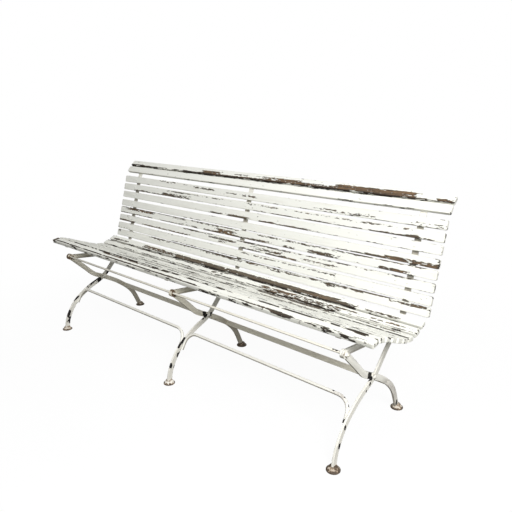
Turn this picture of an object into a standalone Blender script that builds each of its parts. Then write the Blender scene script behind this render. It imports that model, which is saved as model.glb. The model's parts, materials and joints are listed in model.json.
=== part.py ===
"""Folding garden bench: painted wooden slats on three forged iron frames.

Each frame is a long bar, which is the front leg below and the back upright above, an S-shaped rear leg
that crosses it on a rivet, and a seat bar. The seat bar turns on a rod through the tops of the rear legs,
and its rear end is an open eye that drops over a pin on the long bar and locks the crossed legs open.

Metres, X along the bench, Y towards the back, Z up, origin on the ground under the middle of the bench.
A place in the side plane is (y, z), with y from the crossing rivet and z from the ground.
"""
import bpy
import bmesh
from math import asin, atan2, cos, pi, radians, sin, sqrt
from mathutils import Matrix, Vector

# Wooden slats, one size for the seat and the back
SLAT_LENGTH = 2.0
SLAT_WIDTH = 0.037
SLAT_THICK = 0.018
SLAT_ROUND = 0.0025
SLAT_LEAST_GAP = 0.008

# Back: a straight run of slats, then two that roll backwards at the top
BACK_START = (0.190, 0.456)
BACK_STRAIGHT = 0.367
BACK_LEAN = radians(15.8)
ROLL_LEANS = (radians(38), radians(50))
ROLL_GAPS = (0.028, 0.009)

# Seat: its top face from the rounded front edge, over the dish, to the rear slat
SEAT_PROFILE = ((-0.230, 0.504), (-0.190, 0.510), (-0.126, 0.491), (-0.033, 0.4525),
                (0.050, 0.4245), (0.100, 0.4265), (0.169, 0.4535))

# Forged flat bar of the legs, with eased edges
BAR_WIDTH = 0.025
BAR_THICK = 0.008
BAR_EASE = 0.001
EYE_RADIUS = 0.016
CROSSING_Z = 0.2525
PIVOT = (-0.200, 0.420)
FRONT_FOOT_Y = -0.257
REAR_FOOT_Y = 0.241
FRONT_LEG_BENDS = ((-0.2415, 0.068), (-0.190, 0.146), (-0.105, 0.2055))
UPRIGHT_BENDS = ((0.075, 0.3235), (0.150, 0.390))
REAR_LEG_UPPER_BENDS = ((-0.125, 0.347), (-0.064, 0.2865))
REAR_LEG_LOWER_BENDS = ((0.095, 0.196), (0.185, 0.115))
TWIST_LENGTH = 0.055
UPRIGHT_LEAD = 0.007

# Places of the frames along the bench, and the layers of each frame
SLAT_OVERHANG = 0.107
END_FRAME_X = SLAT_LENGTH / 2 - SLAT_OVERHANG
MIDDLE_FRAME_X = 0.008
LAYER_GAP = 0.0004
FIT = 0.0003

# Seat ironwork
SEAT_BAR_THICK = 0.006
STRAP_WIDTH = 0.022
STRAP_THICK = 0.006
STRAP_SETBACK = 0.005
PACKING_Y = -0.075
PACKING_LENGTH = 0.030
FOLD_RATIO = 2.06

# Pins, rivets, rod and foot pads
ROD_RADIUS = 0.005
ROD_END = 0.003
NUT_RADIUS = 0.0098
NUT_THICK = 0.008
WASHER_RADIUS = 0.012
WASHER_THICK = 0.002
RIVET_RADIUS = 0.005
HEAD_RADIUS = 0.0095
HEAD_HEIGHT = 0.0045
PIN_RADIUS = 0.005
PIN_COLLAR = 0.004
SLOT_CLEARANCE = 0.0005
PAD_RADIUS = 0.026
PAD_THICK = 0.017
PAD_EDGE = 0.003
PAD_NECK = 0.0145
PAD_HOLLOW = 1.4
TENON_RADIUS = 0.0035

# Stretchers between the frames
ROD_STRETCHER_RADIUS = 0.007
ROD_STRETCHER_PLACE = (-0.136, 0.216)
ROD_STRETCHER_HEADING = radians(58)
ROD_STRETCHER_DROP = 0.086
STRAP_STRETCHER_WIDTH = 0.024
STRAP_STRETCHER_THICK = 0.005
STRAP_STRETCHER_Z = 0.170
STRAP_TENON_WIDTH = 0.010
STRETCHER_BEND = 0.055

SIDE_PLANE = (pi / 2, 0, pi / 2)
ALONG_X = (0, pi / 2, 0)
FACETS = 20
RIVET_FACETS = 16
CROSSING = Vector((0, CROSSING_Z))
PIVOT_AXIS = Vector(PIVOT)


# Scene, collections and materials

for old in list(bpy.data.objects):
    bpy.data.objects.remove(old, do_unlink=True)

bench_parts = bpy.data.collections.new("folding_garden_bench")
cutters = bpy.data.collections.new("cutters")
bpy.context.scene.collection.children.link(bench_parts)
bpy.context.scene.collection.children.link(cutters)


def finish(name, color, roughness, metallic):
    """A Principled material of one colour."""
    material = bpy.data.materials.new(name)
    material.use_nodes = True
    shader = material.node_tree.nodes["Principled BSDF"]
    shader.inputs["Base Color"].default_value = (*color, 1)
    shader.inputs["Roughness"].default_value = roughness
    shader.inputs["Metallic"].default_value = metallic
    return material


WOOD_PAINT = finish("painted_wood", (0.80, 0.79, 0.74), 0.75, 0.0)
IRON_PAINT = finish("painted_iron", (0.70, 0.69, 0.62), 0.6, 0.0)
RUST = finish("rusted_iron", (0.20, 0.12, 0.07), 0.85, 0.3)


# Curves in the side plane

def smooth(knots, steps=5):
    """Points of a smooth curve through the knots; the first and last knot only guide its ends."""
    knots = [Vector(knot) for knot in knots]
    path = []
    for before, a, b, after in zip(knots, knots[1:], knots[2:], knots[3:]):
        for step in range(steps):
            t = step / steps
            path.append(0.5 * (2 * a + (b - before) * t + (2 * before - 5 * a + 4 * b - after) * t ** 2
                               + (3 * a - before - 3 * b + after) * t ** 3))
    return path + [knots[-2]]


def guided(knots):
    """The knots with a guide added at each end, straight on from the end."""
    knots = [Vector(knot) for knot in knots]
    return [2 * knots[0] - knots[1], *knots, 2 * knots[-1] - knots[-2]]


def direction(angle):
    return Vector((cos(angle), sin(angle)))


def left_of(heading):
    return Vector((-heading.y, heading.x))


def headings(path):
    """Unit direction of travel at each point of a path."""
    last = len(path) - 1
    return [(path[min(i + 1, last)] - path[max(i - 1, 0)]).normalized() for i in range(len(path))]


def arc(centre, radius, start, end, steps=16):
    """Points on an arc from one angle to another."""
    return [centre + radius * direction(start + (end - start) * i / steps) for i in range(steps + 1)]


def circle(centre, radius, sides=FACETS):
    return arc(centre, radius, 0, 2 * pi, sides)[:-1]


def at_length(path, length):
    """Point of a path at a length along it."""
    for a, b in zip(path, path[1:]):
        step = (b - a).length
        if length <= step:
            return a.lerp(b, length / step)
        length -= step
    return path[-1]


def path_length(path):
    return sum((b - a).length for a, b in zip(path, path[1:]))


def where_path_crosses(path, origin, heading):
    """Point where a path crosses the line through origin along heading."""
    sides = [left_of(heading).dot(point - origin) for point in path]
    for a, b, side_a, side_b in zip(path, path[1:], sides, sides[1:]):
        if side_a * side_b <= 0:
            return a.lerp(b, side_a / (side_a - side_b))
    return path[-1]


def bar_outline(path, half_width, eyes=(), eye_radius=EYE_RADIUS):
    """Outline of a flat bar along a path, with a round eye at each end in eyes, 0 and -1."""
    travel = headings(path)
    opening = asin(half_width / eye_radius) if eyes else 0
    reach = sqrt(eye_radius ** 2 - half_width ** 2) if eyes else 0
    clear = [i for i, point in enumerate(path)
             if all((point - path[end]).length > reach for end in eyes)]
    left = [path[i] + half_width * left_of(travel[i]) for i in clear]
    right = [path[i] - half_width * left_of(travel[i]) for i in reversed(clear)]
    front = back = []
    if -1 in eyes:
        heading = atan2(travel[-1].y, travel[-1].x)
        front = arc(path[-1], eye_radius, heading + pi - opening, heading - pi + opening)
    if 0 in eyes:
        heading = atan2(travel[0].y, travel[0].x)
        back = arc(path[0], eye_radius, heading - opening, heading - 2 * pi + opening)
    return left + front + right + back


# Ways of making a piece

def add(name, data, location, rotation, material):
    piece = bpy.data.objects.new(name, data)
    piece.location = location
    piece.rotation_euler = rotation
    bench_parts.objects.link(piece)
    if not data.materials:
        data.materials.append(material)
    return piece


def make_mesh(curve_piece):
    """Turn a curve piece into a welded mesh piece of the same name, place and material."""
    bpy.context.view_layer.update()
    name = curve_piece.name
    location = curve_piece.location.copy()
    rotation = curve_piece.rotation_euler.copy()
    material = curve_piece.data.materials[0]
    evaluated = curve_piece.evaluated_get(bpy.context.evaluated_depsgraph_get())
    mesh = bpy.data.meshes.new_from_object(evaluated)
    bpy.data.objects.remove(curve_piece, do_unlink=True)
    form = bmesh.new()
    form.from_mesh(mesh)
    bmesh.ops.remove_doubles(form, verts=form.verts, dist=0.000001)
    bmesh.ops.recalc_face_normals(form, faces=form.faces)
    form.to_mesh(mesh)
    form.free()
    mesh.name = name
    return add(name, mesh, location, rotation, material)


def plate(name, outlines, thick, location, rotation, material):
    """A flat piece cut to an outline, with any further outlines as holes."""
    curve = bpy.data.curves.new(name, "CURVE")
    curve.dimensions = "2D"
    curve.fill_mode = "BOTH"
    curve.extrude = thick / 2
    for outline in outlines:
        spline = curve.splines.new("POLY")
        spline.points.add(len(outline) - 1)
        spline.use_cyclic_u = True
        for point, place in zip(spline.points, outline):
            point.co = (*place, 0, 1)
    return make_mesh(add(name, curve, location, rotation, material))


def eased_section(width, thick):
    """Section curve of a flat bar, for sweeping along a path."""
    curve = bpy.data.curves.new("bar_section", "CURVE")
    curve.dimensions = "2D"
    spline = curve.splines.new("POLY")
    spline.points.add(7)
    spline.use_cyclic_u = True
    corners = ((1, 1), (-1, 1), (-1, -1), (1, -1))
    for i, (across, up) in enumerate(corners):
        corner = Vector((across * width / 2, up * thick / 2, 0, 1))
        along_edge = Vector((across * BAR_EASE, 0, 0, 0))
        down_edge = Vector((0, up * BAR_EASE, 0, 0))
        first, second = (down_edge, along_edge) if across * up > 0 else (along_edge, down_edge)
        spline.points[2 * i].co = corner - first
        spline.points[2 * i + 1].co = corner - second
    section = bpy.data.objects.new("bar_section", curve)
    section.hide_render = True
    section.display_type = "WIRE"
    cutters.objects.link(section)
    return section


def swept_bar(name, path, tilts, width, thick, x, material):
    """A flat bar along a path in the side plane; width lies in that plane where the tilt is 0."""
    section = eased_section(width, thick)
    curve = bpy.data.curves.new(name, "CURVE")
    curve.dimensions = "3D"
    curve.twist_mode = "Z_UP"
    curve.bevel_mode = "OBJECT"
    curve.bevel_object = section
    curve.use_fill_caps = True
    spline = curve.splines.new("POLY")
    spline.points.add(len(path) - 1)
    for point, place, tilt in zip(spline.points, path, tilts):
        point.co = (*place, 0, 1)
        point.tilt = tilt
    piece = make_mesh(add(name, curve, (x, 0, 0), SIDE_PLANE, material))
    bpy.data.objects.remove(section, do_unlink=True)
    return piece


def turned(name, profile, location, rotation, material, closed=False, facets=FACETS):
    """A turned piece: a profile of (radius, height), run down its outer side, about the local Z axis."""
    mesh = bpy.data.meshes.new(name)
    edges = [(i, i + 1) for i in range(len(profile) - 1)]
    if closed:
        edges.append((len(profile) - 1, 0))
    mesh.from_pydata([(radius, 0, height) for radius, height in profile], edges, [])
    piece = add(name, mesh, location, rotation, material)
    screw = piece.modifiers.new("turn", "SCREW")
    screw.steps = screw.render_steps = facets
    screw.use_merge_vertices = True
    screw.merge_threshold = 0.00001
    return piece


def round_tool(name, location, rotation, radius, length):
    """A round bar that cuts a hole in a piece or is joined to it as a tenon."""
    mesh = bpy.data.meshes.new(name)
    form = bmesh.new()
    bmesh.ops.create_cone(form, cap_ends=True, segments=FACETS, radius1=radius, radius2=radius, depth=length)
    form.to_mesh(mesh)
    form.free()
    tool = bpy.data.objects.new(name, mesh)
    tool.location = location
    tool.rotation_euler = rotation
    return keep_as_tool(tool)


def keep_as_tool(tool):
    for collection in list(tool.users_collection):
        collection.objects.unlink(tool)
    cutters.objects.link(tool)
    tool.hide_render = True
    tool.display_type = "WIRE"
    tool.parent = bench
    return tool


def combine(piece, tool, operation):
    boolean = piece.modifiers.new(tool.name, "BOOLEAN")
    boolean.object = tool
    boolean.operation = operation


def stand_on_pad(leg, x, foot_y):
    """Cut a leg level above its pad and give it the round tenon that is riveted through the pad."""
    form = bmesh.new()
    form.from_mesh(leg.data)
    everything = form.verts[:] + form.edges[:] + form.faces[:]
    cut = bmesh.ops.bisect_plane(form, geom=everything, plane_co=(0, PAD_THICK + FIT, 0),
                                 plane_no=(0, 1, 0), clear_inner=True)
    rim = [item for item in cut["geom_cut"] if isinstance(item, bmesh.types.BMEdge)]
    bmesh.ops.contextual_create(form, geom=rim)
    bmesh.ops.recalc_face_normals(form, faces=form.faces)
    form.to_mesh(leg.data)
    form.free()
    length = PAD_THICK + 2 * TENON_RADIUS - PAD_EDGE / 2
    middle = PAD_EDGE / 2 + length / 2
    tenon = round_tool(leg.name + "_tenon", (x, foot_y, middle), (0, 0, 0), TENON_RADIUS, length)
    combine(leg, tenon, "UNION")


# Bodies: the back frame stands still, the rear legs turn at the crossing, the seat turns at the rod

def back_slat_lines():
    """Lower front edge and angle of each back slat, from the lowest to the top."""
    count = int((BACK_STRAIGHT + SLAT_LEAST_GAP) / (SLAT_WIDTH + SLAT_LEAST_GAP))
    gap = (BACK_STRAIGHT - count * SLAT_WIDTH) / (count - 1)
    leans = [BACK_LEAN] * count + list(ROLL_LEANS)
    gaps = [gap] * (count - 1) + list(ROLL_GAPS)
    edge = Vector(BACK_START)
    lines = []
    for i, lean in enumerate(leans):
        lines.append((edge, pi / 2 - lean))
        edge = edge + SLAT_WIDTH * direction(pi / 2 - lean)
        if i < len(gaps):
            edge = edge + gaps[i] * direction(pi / 2 - (lean + leans[i + 1]) / 2)
    return lines


def seat_slat_lines():
    """Front top edge and angle of each seat slat, from the front to the rear."""
    profile = smooth(guided(SEAT_PROFILE))
    run = path_length(profile)
    count = int((run + SLAT_LEAST_GAP) / (SLAT_WIDTH + SLAT_LEAST_GAP))
    pitch = (run - SLAT_WIDTH) / (count - 1)
    lines = []
    for i in range(count):
        edge = at_length(profile, i * pitch)
        chord = at_length(profile, i * pitch + SLAT_WIDTH) - edge
        lines.append((edge, atan2(chord.y, chord.x)))
    return lines


def behind_slats(lines, depth, setback):
    """Path along the backs of the slats, straight under each one, at a depth from their faces.

    A bend towards the slats lies in the gap between two of them, and one away from them starts under them.
    """
    path = []
    angles = [angle for edge, angle in lines]
    for (edge, angle), before, after in zip(lines, [None, *angles], [*angles[1:], None]):
        start = edge - depth * left_of(direction(angle))
        if angle != before:
            hollow = before is not None and angle > before
            path.append(start + (0 if hollow else setback) * direction(angle))
        if angle != after:
            hollow = after is not None and after > angle
            path.append(start + (SLAT_WIDTH - (0 if hollow else setback)) * direction(angle))
    return path


BACK_LINES = back_slat_lines()
SEAT_LINES = seat_slat_lines()
upright_path = behind_slats(BACK_LINES, SLAT_THICK + FIT + BAR_THICK / 2, STRAP_SETBACK)
upright_path[0] = upright_path[0] - (STRAP_SETBACK + UPRIGHT_LEAD) * direction(BACK_LINES[0][1])
strap_path = behind_slats(SEAT_LINES, SLAT_THICK + FIT + STRAP_THICK / 2, STRAP_SETBACK)
strap_underside = behind_slats(SEAT_LINES, SLAT_THICK + FIT + STRAP_THICK, STRAP_SETBACK)

front_foot = Vector((FRONT_FOOT_Y, 0))
rear_foot = Vector((REAR_FOOT_Y, 0))
leg_knots = [front_foot, *FRONT_LEG_BENDS, CROSSING, *UPRIGHT_BENDS, upright_path[0]]
leg_path = smooth([*guided(leg_knots)[:-1], upright_path[1]])
rear_leg_knots = [PIVOT_AXIS, *REAR_LEG_UPPER_BENDS, CROSSING, *REAR_LEG_LOWER_BENDS, rear_foot]
rear_leg_path = smooth(guided(rear_leg_knots))
strap_place = where_path_crosses(rear_leg_path, Vector((0, STRAP_STRETCHER_Z)), Vector((1, 0)))
nearest = min(range(len(rear_leg_path)), key=lambda i: (rear_leg_path[i] - strap_place).length)
strap_across = left_of(headings(rear_leg_path)[nearest])
long_path = leg_path + upright_path[1:]

top_rear = upright_path[-1] - BAR_THICK / 2 * left_of(direction(BACK_LINES[-1][1]))
DEPTH_MIDDLE = (FRONT_FOOT_Y - PAD_RADIUS + top_rear.x) / 2

bench = bpy.data.objects.new("bench", None)
bench.location = (0, -DEPTH_MIDDLE, 0)
bench_parts.objects.link(bench)


def body_on_axis(name, axis):
    """Empty on a joint's axis that carries the pieces of one moving body."""
    body = bpy.data.objects.new(name, None)
    body.parent = bench
    body.location = (0, *axis)
    bench_parts.objects.link(body)
    return body


back_frame = body_on_axis("back_frame", Vector((0, 0)))
rear_legs = body_on_axis("rear_legs", CROSSING)
seat = body_on_axis("seat", PIVOT_AXIS)


def carry(body, piece):
    piece.parent = body
    piece.location = Vector(piece.location) - body.location
    return piece


# The seat bar runs straight from the pivot, just under the lowest part of the straps, to the long bar

def seat_bar_heading():
    angles = []
    for point in strap_underside:
        reach = point - PIVOT_AXIS
        if reach.x > EYE_RADIUS + BAR_WIDTH:
            angles.append(atan2(reach.y, reach.x) - asin((BAR_WIDTH / 2 + FIT) / reach.length))
    return direction(min(angles))


seat_heading = seat_bar_heading()
crossing_index = min(range(len(long_path)), key=lambda i: (long_path[i] - CROSSING).length)
HOOK = where_path_crosses(long_path[crossing_index:], PIVOT_AXIS, seat_heading)
pivot_arm = PIVOT_AXIS - CROSSING
hook_arm = HOOK - PIVOT_AXIS
lift = -left_of(pivot_arm) + (FOLD_RATIO - 1) * left_of(hook_arm)
lift.normalize()


# Slats

def slat(name, edge, angle, body):
    """A planed slat whose face starts at an edge and runs at an angle in the side plane."""
    mesh = bpy.data.meshes.new(name)
    form = bmesh.new()
    bmesh.ops.create_cube(form, size=1)
    size = Matrix.Diagonal((SLAT_LENGTH, SLAT_WIDTH, SLAT_THICK, 1))
    bmesh.ops.transform(form, matrix=size, verts=form.verts)
    form.to_mesh(mesh)
    form.free()
    across = direction(angle)
    middle = edge + SLAT_WIDTH / 2 * across - SLAT_THICK / 2 * left_of(across)
    piece = add(name, mesh, (0, *middle), (angle, 0, 0), WOOD_PAINT)
    bevel = piece.modifiers.new("rounded_edges", "BEVEL")
    bevel.width = SLAT_ROUND
    bevel.segments = 2
    carry(body, piece)


for number, (edge, angle) in enumerate(BACK_LINES, 1):
    slat(f"back_slat_{number:02}", edge, angle, back_frame)
for number, (edge, angle) in enumerate(SEAT_LINES, 1):
    slat(f"seat_slat_{number:02}", edge, angle, seat)


# The three iron frames

def foot_pad(name, x, y, body):
    """A turned pad with a flat sole, a thin rim, a hollow flare up to its neck and a hole for the leg's tenon."""
    hole = TENON_RADIUS + FIT
    flare = PAD_RADIUS - PAD_NECK
    rise = PAD_THICK - PAD_EDGE
    steps = [i / 4 for i in range(5)]
    bell = [(PAD_NECK + flare * step, PAD_EDGE + rise * (1 - step) ** PAD_HOLLOW) for step in steps]
    profile = [(hole, PAD_THICK), *bell, (PAD_RADIUS, 0), (hole, 0)]
    carry(body, turned(name, profile, (x, y, 0), (0, 0, 0), RUST, closed=True))


def domed(radius, height, base):
    """Profile of a domed rivet head from its crown on the axis down to its rim."""
    return [(radius * sin(turn), base + height * cos(turn)) for turn in (i * pi / 6 for i in range(4))]


def long_bar(name, x):
    """Front leg and back upright in one bar, turned a quarter below the back so that it lies flat there."""
    first_slat = len(leg_path) - 1
    to_slats = [path_length(long_path[i:first_slat + 1]) for i in range(first_slat)]
    turns = [max(0, 1 - length / TWIST_LENGTH) for length in to_slats] + [1] * len(upright_path)
    tilts = [pi / 2 * turn * turn * (3 - 2 * turn) for turn in turns]
    bar = swept_bar(name, long_path, tilts, BAR_WIDTH, BAR_THICK, x, IRON_PAINT)
    stand_on_pad(bar, x, FRONT_FOOT_Y)
    through = 3 * BAR_THICK
    for label, place, radius in (("rivet", CROSSING, RIVET_RADIUS), ("pin", HOOK, PIN_RADIUS)):
        tool = round_tool(f"{name}_{label}_hole", (x, *place), ALONG_X, radius + FIT, through)
        combine(bar, tool, "DIFFERENCE")
    carry(back_frame, bar)


def mortise():
    """Outline of the slot in a rear leg that takes the tenon of a strap stretcher."""
    half_wide = (STRAP_TENON_WIDTH / 2 + FIT) * strap_across
    half_thick = (STRAP_STRETCHER_THICK / 2 + FIT) * left_of(strap_across)
    return [strap_place + a * half_wide + b * half_thick for a, b in ((-1, -1), (1, -1), (1, 1), (-1, 1))]


def rear_leg(name, x):
    """S-shaped leg with an eye for the rod, a hole for the crossing rivet and a mortise for the straps."""
    outline = bar_outline(rear_leg_path, BAR_WIDTH / 2, eyes=(0,))
    holes = [circle(PIVOT_AXIS, ROD_RADIUS + FIT), circle(CROSSING, RIVET_RADIUS + FIT), mortise()]
    leg = plate(name, [outline, *holes], BAR_THICK, (x, 0, 0), SIDE_PLANE, IRON_PAINT)
    stand_on_pad(leg, x, REAR_FOOT_Y)
    carry(rear_legs, leg)


def seat_bar(name, x):
    """Flat bar on edge, with an eye round the rod and an open eye over the hook pin."""
    path = [PIVOT_AXIS, PIVOT_AXIS.lerp(HOOK, 0.5), HOOK]
    outline = bar_outline(path, BAR_WIDTH / 2, eyes=(0, -1))
    eye = circle(PIVOT_AXIS, ROD_RADIUS + FIT)
    bar = plate(name, [outline, eye], SEAT_BAR_THICK, (x, 0, 0), SIDE_PLANE, IRON_PAINT)
    slot_half = PIN_RADIUS + SLOT_CLEARANCE
    lift_angle = atan2(lift.y, lift.x)
    slot_round = arc(HOOK, slot_half, lift_angle - pi / 2, lift_angle + pi / 2)
    slot_mouth = [slot_round[-1] - 2 * EYE_RADIUS * lift, slot_round[0] - 2 * EYE_RADIUS * lift]
    slot = plate(name + "_slot", [slot_round + slot_mouth], 3 * SEAT_BAR_THICK, (x, 0, 0), SIDE_PLANE,
                 IRON_PAINT)
    combine(bar, keep_as_tool(slot), "DIFFERENCE")
    carry(seat, bar)


def packing(name, x):
    """Block riveted between the seat bar and the strap where they part towards the front."""
    up = left_of(seat_heading)
    along_bar = (PACKING_Y - PIVOT_AXIS.x) / seat_heading.x
    start = PIVOT_AXIS + along_bar * seat_heading + (BAR_WIDTH / 2 + FIT) * up
    outline = []
    for along in (0, PACKING_LENGTH):
        foot = start + along * seat_heading
        roof = where_path_crosses(strap_underside, foot, up)
        outline.append((foot, roof - FIT * up))
    (foot_a, roof_a), (foot_b, roof_b) = outline
    block = plate(name, [[foot_a, foot_b, roof_b, roof_a]], STRAP_WIDTH, (x, 0, 0), SIDE_PLANE, IRON_PAINT)
    carry(seat, block)


def ring(name, outline, hole_radius, thick, x, body, material):
    """A nut or washer on the pivot rod."""
    outlines = [outline, circle(PIVOT_AXIS, hole_radius)]
    carry(body, plate(name, outlines, thick, (x, 0, 0), SIDE_PLANE, material))


frames = (("left", -END_FRAME_X, 1), ("middle", MIDDLE_FRAME_X, -1), ("right", END_FRAME_X, -1))
LEG_OFFSET = BAR_THICK + LAYER_GAP
WASHER_OFFSET = LEG_OFFSET + (BAR_THICK + WASHER_THICK) / 2 + FIT
SEAT_BAR_OFFSET = WASHER_OFFSET + (WASHER_THICK + SEAT_BAR_THICK) / 2 + FIT
STRAP_OFFSET = SEAT_BAR_OFFSET - SEAT_BAR_THICK / 2 + STRAP_WIDTH / 2
NUT_OFFSET = LEG_OFFSET - (BAR_THICK + NUT_THICK) / 2 - FIT

for side, x, inward in frames:
    leg_x = x + inward * LEG_OFFSET
    bar_x = x + inward * SEAT_BAR_OFFSET
    strap_x = x + inward * STRAP_OFFSET
    long_bar(f"frame_bar_{side}", x)
    foot_pad(f"front_foot_{side}", x, FRONT_FOOT_Y, back_frame)
    rear_leg(f"rear_leg_{side}", leg_x)
    foot_pad(f"rear_foot_{side}", leg_x, REAR_FOOT_Y, rear_legs)
    seat_bar(f"seat_bar_{side}", bar_x)
    strap = swept_bar(f"seat_strap_{side}", strap_path, [0] * len(strap_path), STRAP_THICK, STRAP_WIDTH,
                      strap_x, IRON_PAINT)
    carry(seat, strap)
    packing(f"seat_packing_{side}", strap_x)
    washer_outline = circle(PIVOT_AXIS, WASHER_RADIUS)
    ring(f"pivot_washer_{side}", washer_outline, ROD_RADIUS + FIT, WASHER_THICK, x + inward * WASHER_OFFSET,
         seat, RUST)

    # The crossing rivet has a head on each side of the two bars.
    outer = -BAR_THICK / 2 - FIT
    inner = LEG_OFFSET + BAR_THICK / 2 + FIT
    heads = domed(HEAD_RADIUS, HEAD_HEIGHT, inner)
    far_heads = [(radius, inner + outer - height) for radius, height in reversed(heads)]
    rivet_profile = [*heads, (RIVET_RADIUS, inner), (RIVET_RADIUS, outer), *far_heads]
    rivet_turn = (0, inward * pi / 2, 0)
    rivet = turned(f"crossing_rivet_{side}", rivet_profile, (x, *CROSSING), rivet_turn, IRON_PAINT,
                   facets=RIVET_FACETS)
    carry(back_frame, rivet)

    # The hook pin is riveted through the long bar and has a collar that keeps the seat bar on it.
    tip = SEAT_BAR_OFFSET + SEAT_BAR_THICK / 2 + LAYER_GAP + PIN_COLLAR
    tail = domed(HEAD_RADIUS, HEAD_HEIGHT, 0)
    collar = tip - PIN_COLLAR
    pin_tail = [(radius, outer - height) for radius, height in reversed(tail)]
    pin_profile = [(0, tip), (HEAD_RADIUS, tip), (HEAD_RADIUS, collar), (PIN_RADIUS, collar),
                   (PIN_RADIUS, outer), *pin_tail]
    pin = turned(f"hook_pin_{side}", pin_profile, (x, *HOOK), rivet_turn, IRON_PAINT, facets=RIVET_FACETS)
    carry(back_frame, pin)


# The rod through the tops of the rear legs, with a nut at each end

rod_half = END_FRAME_X - NUT_OFFSET + NUT_THICK / 2 + ROD_END
rod_profile = [(0, rod_half), (ROD_RADIUS, rod_half), (ROD_RADIUS, -rod_half), (0, -rod_half)]
carry(rear_legs, turned("pivot_rod", rod_profile, (0, *PIVOT_AXIS), ALONG_X, RUST))
for side, x, inward in (frames[0], frames[-1]):
    hexagon = circle(PIVOT_AXIS, NUT_RADIUS, 6)
    ring(f"rod_nut_{side}", hexagon, ROD_RADIUS + FIT, NUT_THICK, x + inward * NUT_OFFSET, rear_legs, RUST)


# Stretchers between the front legs: round rod, bent down at both ends along the inner faces of two legs

def bent_ends(x_low, x_high, drop, bend):
    """Path of a stretcher in its own plane: up one end, round a bend, across, and down the other end."""
    corner_low = arc(Vector((x_low + bend, -bend)), bend, pi, pi / 2, 6)
    corner_high = arc(Vector((x_high - bend, -bend)), bend, pi / 2, 0, 6)
    return [Vector((x_low, -drop)), *corner_low, *corner_high, Vector((x_high, -drop))]


def rod_stretcher(name, x_low, x_high):
    clear = ROD_STRETCHER_RADIUS + FIT
    curve = bpy.data.curves.new(name, "CURVE")
    curve.dimensions = "3D"
    curve.bevel_depth = ROD_STRETCHER_RADIUS
    curve.bevel_resolution = 2
    curve.use_fill_caps = True
    path = bent_ends(x_low + clear, x_high - clear, ROD_STRETCHER_DROP, STRETCHER_BEND)
    spline = curve.splines.new("POLY")
    spline.points.add(len(path) - 1)
    for point, place in zip(spline.points, path):
        point.co = (*place, 0, 1)
    rod = add(name, curve, (0, *ROD_STRETCHER_PLACE), (ROD_STRETCHER_HEADING, 0, 0), IRON_PAINT)
    carry(back_frame, make_mesh(rod))


# Stretchers between the rear legs: flat straps with a tenon at each end, riveted into the mortises

def strap_stretcher(name, x_low, x_high):
    half_wide = STRAP_STRETCHER_WIDTH / 2
    half_tenon = STRAP_TENON_WIDTH / 2
    low = x_low + FIT
    high = x_high - FIT
    reach = BAR_THICK / 2
    right_end = [(high, -half_wide), (high, -half_tenon), (high + reach, -half_tenon),
                 (high + reach, half_tenon), (high, half_tenon), (high, half_wide)]
    left_end = [(low, half_wide), (low, half_tenon), (low - reach, half_tenon),
                (low - reach, -half_tenon), (low, -half_tenon), (low, -half_wide)]
    turn = (atan2(strap_across.y, strap_across.x), 0, 0)
    strap = plate(name, [right_end + left_end], STRAP_STRETCHER_THICK, (0, *strap_place), turn, IRON_PAINT)
    carry(rear_legs, strap)


left_x, middle_x, right_x = (x for side, x, inward in frames)
half_bar = BAR_THICK / 2
rod_stretcher("front_stretcher_left", left_x + half_bar, middle_x - half_bar)
rod_stretcher("front_stretcher_right", middle_x + half_bar, right_x - half_bar)
left_leg, middle_leg, right_leg = (x + inward * LEG_OFFSET for side, x, inward in frames)
strap_stretcher("rear_stretcher_left", left_leg + half_bar, middle_leg - half_bar)
strap_stretcher("rear_stretcher_right", middle_leg + half_bar, right_leg - half_bar)


# Round pieces are shaded smooth

for piece in bench_parts.objects:
    if piece.type == "MESH" and not piece.name.startswith(("back_slat", "seat_slat")):
        piece.data.shade_smooth()
        piece.data.set_sharp_from_angle(angle=radians(35))
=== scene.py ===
"""Looks of a folding garden bench: white slats with peeling paint on three forged iron frames.

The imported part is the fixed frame. Each section dresses one kind of piece, in the order in which the bench
is put together, and the last ones set the camera, the floor and the light.
"""
import json
from math import atan2, pi, radians, sqrt

import bpy
import numpy as np
from mathutils import Euler, Matrix, Vector

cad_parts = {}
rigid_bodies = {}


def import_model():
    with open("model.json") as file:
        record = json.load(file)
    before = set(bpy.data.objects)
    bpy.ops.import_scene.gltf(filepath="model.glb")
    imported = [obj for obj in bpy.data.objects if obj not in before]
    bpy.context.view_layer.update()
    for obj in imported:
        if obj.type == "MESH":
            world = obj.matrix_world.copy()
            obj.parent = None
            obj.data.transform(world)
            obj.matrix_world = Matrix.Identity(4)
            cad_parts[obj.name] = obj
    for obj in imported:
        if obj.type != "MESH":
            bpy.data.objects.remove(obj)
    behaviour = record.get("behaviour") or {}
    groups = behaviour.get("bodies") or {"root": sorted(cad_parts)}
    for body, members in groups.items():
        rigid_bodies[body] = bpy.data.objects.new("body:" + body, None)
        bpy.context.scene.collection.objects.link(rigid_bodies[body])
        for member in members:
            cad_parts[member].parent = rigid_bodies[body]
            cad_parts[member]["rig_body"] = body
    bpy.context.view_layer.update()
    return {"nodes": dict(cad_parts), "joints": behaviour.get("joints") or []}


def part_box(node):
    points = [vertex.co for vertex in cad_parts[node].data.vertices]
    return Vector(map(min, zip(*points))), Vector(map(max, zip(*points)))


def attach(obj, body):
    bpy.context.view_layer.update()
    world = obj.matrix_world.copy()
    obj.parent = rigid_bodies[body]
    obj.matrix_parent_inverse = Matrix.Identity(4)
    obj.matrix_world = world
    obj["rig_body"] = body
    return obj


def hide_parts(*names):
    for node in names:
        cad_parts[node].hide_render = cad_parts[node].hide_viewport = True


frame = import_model()


# Legs, uprights, seat irons and stretchers are flat and round wrought iron, forged and riveted.
# They carry old cream paint, chipped to black iron where the bars rub and rusted at the joints.
# Each is a welded copy of its solid; the rear legs, seat bars, straps and packings have their edges eased as
# by years of paint.

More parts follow.
